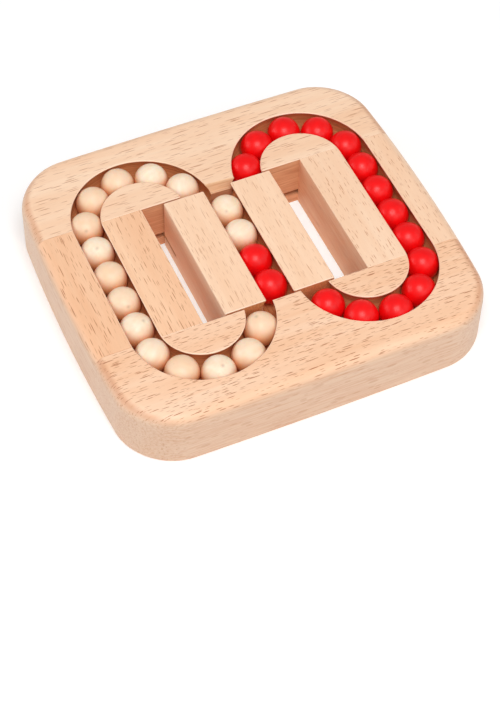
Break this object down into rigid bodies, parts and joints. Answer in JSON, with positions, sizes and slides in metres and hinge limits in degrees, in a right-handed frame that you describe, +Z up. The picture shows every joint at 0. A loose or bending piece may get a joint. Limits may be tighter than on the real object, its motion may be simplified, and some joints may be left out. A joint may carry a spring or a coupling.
{
  "type": "rolling bead track puzzle",
  "caption": "Flat rounded wooden board with oval tracks of loose natural and red beads, and a sliding centre shuttle that carries beads from loop to loop.",
  "frame": {"origin": "centre of the board in plan, on the surface it rests on", "axes": "+X to the right across both loops, +Y from the front rail to the back rail, +Z up out of the beaded face"},
  "size_m": [0.1114, 0.102, 0.0192],
  "materials": {
    "beech": "fine sanded, clear",
    "tongue_wood": "sawn",
    "natural_bead": "smooth turned, clear",
    "red_bead": "satin red paint"
  },
  "bodies": {
    "frame": {"back_rail": "beech", "front_rail": "beech", "left_stile": "beech", "right_stile": "beech"},
    "shuttle": {"shuttle_block": "beech", "shuttle_back_tongue": "tongue_wood", "shuttle_front_tongue": "tongue_wood"},
    "shuttle_bead_1": {"shuttle_bead_1": "natural_bead"},
    "shuttle_bead_2": {"shuttle_bead_2": "natural_bead"},
    "shuttle_bead_3": {"shuttle_bead_3": "red_bead"},
    "shuttle_bead_4": {"shuttle_bead_4": "red_bead"},
    "left_bead_07": {"left_bead_07": "natural_bead"},
    "left_bead_01": {"left_bead_01": "natural_bead"},
    "left_bead_02": {"left_bead_02": "natural_bead"},
    "left_bead_03": {"left_bead_03": "natural_bead"},
    "left_bead_04": {"left_bead_04": "natural_bead"},
    "left_bead_05": {"left_bead_05": "natural_bead"},
    "left_bead_06": {"left_bead_06": "natural_bead"},
    "left_bead_08": {"left_bead_08": "natural_bead"},
    "left_bead_09": {"left_bead_09": "natural_bead"},
    "left_bead_10": {"left_bead_10": "natural_bead"},
    "left_bead_11": {"left_bead_11": "natural_bead"},
    "left_bead_12": {"left_bead_12": "natural_bead"},
    "left_bead_13": {"left_bead_13": "natural_bead"},
    "left_bead_14": {"left_bead_14": "natural_bead"},
    "right_bead_07": {"right_bead_07": "red_bead"},
    "right_bead_01": {"right_bead_01": "red_bead"},
    "right_bead_02": {"right_bead_02": "red_bead"},
    "right_bead_03": {"right_bead_03": "red_bead"},
    "right_bead_04": {"right_bead_04": "red_bead"},
    "right_bead_05": {"right_bead_05": "red_bead"},
    "right_bead_06": {"right_bead_06": "red_bead"},
    "right_bead_08": {"right_bead_08": "red_bead"},
    "right_bead_09": {"right_bead_09": "red_bead"},
    "right_bead_10": {"right_bead_10": "red_bead"},
    "right_bead_11": {"right_bead_11": "red_bead"},
    "right_bead_12": {"right_bead_12": "red_bead"},
    "right_bead_13": {"right_bead_13": "red_bead"},
    "right_bead_14": {"right_bead_14": "red_bead"}
  },
  "joints": [
    {"name": "shuttle_slide", "type": "slide", "parent": "frame", "child": "shuttle", "axis": [1, 0, 0], "range_m": [-0.0066, 0.0099]},
    {"name": "shuttle_beads_roll", "type": "slide", "parent": "shuttle", "child": "shuttle_bead_2", "axis": [0, 1, 0], "range_m": [-0.0022, 0.0022]},
    {"name": "shuttle_bead_1_roll", "type": "slide", "parent": "shuttle", "child": "shuttle_bead_1", "axis": [0, 1, 0], "range_m": [-0.0023, 0.0023]},
    {"name": "shuttle_bead_3_roll", "type": "slide", "parent": "shuttle", "child": "shuttle_bead_3", "axis": [0, 1, 0], "range_m": [-0.0023, 0.0023]},
    {"name": "shuttle_bead_4_roll", "type": "slide", "parent": "shuttle", "child": "shuttle_bead_4", "axis": [0, 1, 0], "range_m": [-0.0023, 0.0023]},
    {"name": "left_beads_roll", "type": "slide", "parent": "frame", "child": "left_bead_07", "axis": [0, -1, 0], "range_m": [-0.00095, 0.00095]},
    {"name": "left_bead_01_roll", "type": "hinge", "parent": "frame", "child": "left_bead_01", "pos_m": [-0.0235, 0.0205, 0.0143], "axis": [0, 0, 1], "range_deg": [-3.36, 3.36]},
    {"name": "left_bead_02_roll", "type": "hinge", "parent": "frame", "child": "left_bead_02", "pos_m": [-0.0235, 0.0205, 0.0143], "axis": [0, 0, 1], "range_deg": [-3.36, 3.36]},
    {"name": "left_bead_03_roll", "type": "hinge", "parent": "frame", "child": "left_bead_03", "pos_m": [-0.0235, 0.0205, 0.0143], "axis": [0, 0, 1], "range_deg": [-3.36, 3.36]},
    {"name": "left_bead_04_roll", "type": "hinge", "parent": "frame", "child": "left_bead_04", "pos_m": [-0.0235, 0.0205, 0.0143], "axis": [0, 0, 1], "range_deg": [-3.36, 3.36]},
    {"name": "left_bead_05_roll", "type": "hinge", "parent": "frame", "child": "left_bead_05", "pos_m": [-0.0235, 0.0205, 0.0143], "axis": [0, 0, 1], "range_deg": [-3.36, 3.36]},
    {"name": "left_bead_06_roll", "type": "slide", "parent": "frame", "child": "left_bead_06", "axis": [0, -1, 0], "range_m": [-0.001, 0.001]},
    {"name": "left_bead_08_roll", "type": "slide", "parent": "frame", "child": "left_bead_08", "axis": [0, -1, 0], "range_m": [-0.001, 0.001]},
    {"name": "left_bead_09_roll", "type": "slide", "parent": "frame", "child": "left_bead_09", "axis": [0, -1, 0], "range_m": [-0.001, 0.001]},
    {"name": "left_bead_10_roll", "type": "hinge", "parent": "frame", "child": "left_bead_10", "pos_m": [-0.0235, -0.0205, 0.0143], "axis": [0, 0, 1], "range_deg": [-3.36, 3.36]},
    {"name": "left_bead_11_roll", "type": "hinge", "parent": "frame", "child": "left_bead_11", "pos_m": [-0.0235, -0.0205, 0.0143], "axis": [0, 0, 1], "range_deg": [-3.36, 3.36]},
    {"name": "left_bead_12_roll", "type": "hinge", "parent": "frame", "child": "left_bead_12", "pos_m": [-0.0235, -0.0205, 0.0143], "axis": [0, 0, 1], "range_deg": [-3.36, 3.36]},
    {"name": "left_bead_13_roll", "type": "hinge", "parent": "frame", "child": "left_bead_13", "pos_m": [-0.0235, -0.0205, 0.0143], "axis": [0, 0, 1], "range_deg": [-3.36, 3.36]},
    {"name": "left_bead_14_roll", "type": "hinge", "parent": "frame", "child": "left_bead_14", "pos_m": [-0.0235, -0.0205, 0.0143], "axis": [0, 0, 1], "range_deg": [-3.36, 3.36]},
    {"name": "right_beads_roll", "type": "slide", "parent": "frame", "child": "right_bead_07", "axis": [0, -1, 0], "range_m": [-0.00095, 0.00095]},
    {"name": "right_bead_01_roll", "type": "hinge", "parent": "frame", "child": "right_bead_01", "pos_m": [0.0261, 0.0205, 0.0143], "axis": [0, 0, -1], "range_deg": [-3.36, 3.36]},
    {"name": "right_bead_02_roll", "type": "hinge", "parent": "frame", "child": "right_bead_02", "pos_m": [0.0261, 0.0205, 0.0143], "axis": [0, 0, -1], "range_deg": [-3.36, 3.36]},
    {"name": "right_bead_03_roll", "type": "hinge", "parent": "frame", "child": "right_bead_03", "pos_m": [0.0261, 0.0205, 0.0143], "axis": [0, 0, -1], "range_deg": [-3.36, 3.36]},
    {"name": "right_bead_04_roll", "type": "hinge", "parent": "frame", "child": "right_bead_04", "pos_m": [0.0261, 0.0205, 0.0143], "axis": [0, 0, -1], "range_deg": [-3.36, 3.36]},
    {"name": "right_bead_05_roll", "type": "hinge", "parent": "frame", "child": "right_bead_05", "pos_m": [0.0261, 0.0205, 0.0143], "axis": [0, 0, -1], "range_deg": [-3.36, 3.36]},
    {"name": "right_bead_06_roll", "type": "slide", "parent": "frame", "child": "right_bead_06", "axis": [0, -1, 0], "range_m": [-0.001, 0.001]},
    {"name": "right_bead_08_roll", "type": "slide", "parent": "frame", "child": "right_bead_08", "axis": [0, -1, 0], "range_m": [-0.001, 0.001]},
    {"name": "right_bead_09_roll", "type": "slide", "parent": "frame", "child": "right_bead_09", "axis": [0, -1, 0], "range_m": [-0.001, 0.001]},
    {"name": "right_bead_10_roll", "type": "hinge", "parent": "frame", "child": "right_bead_10", "pos_m": [0.0261, -0.0205, 0.0143], "axis": [0, 0, -1], "range_deg": [-3.36, 3.36]},
    {"name": "right_bead_11_roll", "type": "hinge", "parent": "frame", "child": "right_bead_11", "pos_m": [0.0261, -0.0205, 0.0143], "axis": [0, 0, -1], "range_deg": [-3.36, 3.36]},
    {"name": "right_bead_12_roll", "type": "hinge", "parent": "frame", "child": "right_bead_12", "pos_m": [0.0261, -0.0205, 0.0143], "axis": [0, 0, -1], "range_deg": [-3.36, 3.36]},
    {"name": "right_bead_13_roll", "type": "hinge", "parent": "frame", "child": "right_bead_13", "pos_m": [0.0261, -0.0205, 0.0143], "axis": [0, 0, -1], "range_deg": [-3.36, 3.36]},
    {"name": "right_bead_14_roll", "type": "hinge", "parent": "frame", "child": "right_bead_14", "pos_m": [0.0261, -0.0205, 0.0143], "axis": [0, 0, -1], "range_deg": [-3.36, 3.36]}
  ],
  "couplings": [
    {"joint": "shuttle_bead_1_roll", "follows": "shuttle_beads_roll", "ratio": 1},
    {"joint": "shuttle_bead_3_roll", "follows": "shuttle_beads_roll", "ratio": 1},
    {"joint": "shuttle_bead_4_roll", "follows": "shuttle_beads_roll", "ratio": 1},
    {"joint": "left_bead_01_roll", "follows": "left_beads_roll", "rad_per_m": 60.79},
    {"joint": "left_bead_02_roll", "follows": "left_beads_roll", "rad_per_m": 60.79},
    {"joint": "left_bead_03_roll", "follows": "left_beads_roll", "rad_per_m": 60.79},
    {"joint": "left_bead_04_roll", "follows": "left_beads_roll", "rad_per_m": 60.79},
    {"joint": "left_bead_05_roll", "follows": "left_beads_roll", "rad_per_m": 60.79},
    {"joint": "left_bead_06_roll", "follows": "left_beads_roll", "ratio": 1},
    {"joint": "left_bead_08_roll", "follows": "left_beads_roll", "ratio": 1},
    {"joint": "left_bead_09_roll", "follows": "left_beads_roll", "ratio": 1},
    {"joint": "left_bead_10_roll", "follows": "left_beads_roll", "rad_per_m": 60.79},
    {"joint": "left_bead_11_roll", "follows": "left_beads_roll", "rad_per_m": 60.79},
    {"joint": "left_bead_12_roll", "follows": "left_beads_roll", "rad_per_m": 60.79},
    {"joint": "left_bead_13_roll", "follows": "left_beads_roll", "rad_per_m": 60.79},
    {"joint": "left_bead_14_roll", "follows": "left_beads_roll", "rad_per_m": 60.79},
    {"joint": "right_bead_01_roll", "follows": "right_beads_roll", "rad_per_m": 60.79},
    {"joint": "right_bead_02_roll", "follows": "right_beads_roll", "rad_per_m": 60.79},
    {"joint": "right_bead_03_roll", "follows": "right_beads_roll", "rad_per_m": 60.79},
    {"joint": "right_bead_04_roll", "follows": "right_beads_roll", "rad_per_m": 60.79},
    {"joint": "right_bead_05_roll", "follows": "right_beads_roll", "rad_per_m": 60.79},
    {"joint": "right_bead_06_roll", "follows": "right_beads_roll", "ratio": 1},
    {"joint": "right_bead_08_roll", "follows": "right_beads_roll", "ratio": 1},
    {"joint": "right_bead_09_roll", "follows": "right_beads_roll", "ratio": 1},
    {"joint": "right_bead_10_roll", "follows": "right_beads_roll", "rad_per_m": 60.79},
    {"joint": "right_bead_11_roll", "follows": "right_beads_roll", "rad_per_m": 60.79},
    {"joint": "right_bead_12_roll", "follows": "right_beads_roll", "rad_per_m": 60.79},
    {"joint": "right_bead_13_roll", "follows": "right_beads_roll", "rad_per_m": 60.79},
    {"joint": "right_bead_14_roll", "follows": "right_beads_roll", "rad_per_m": 60.79}
  ]
}
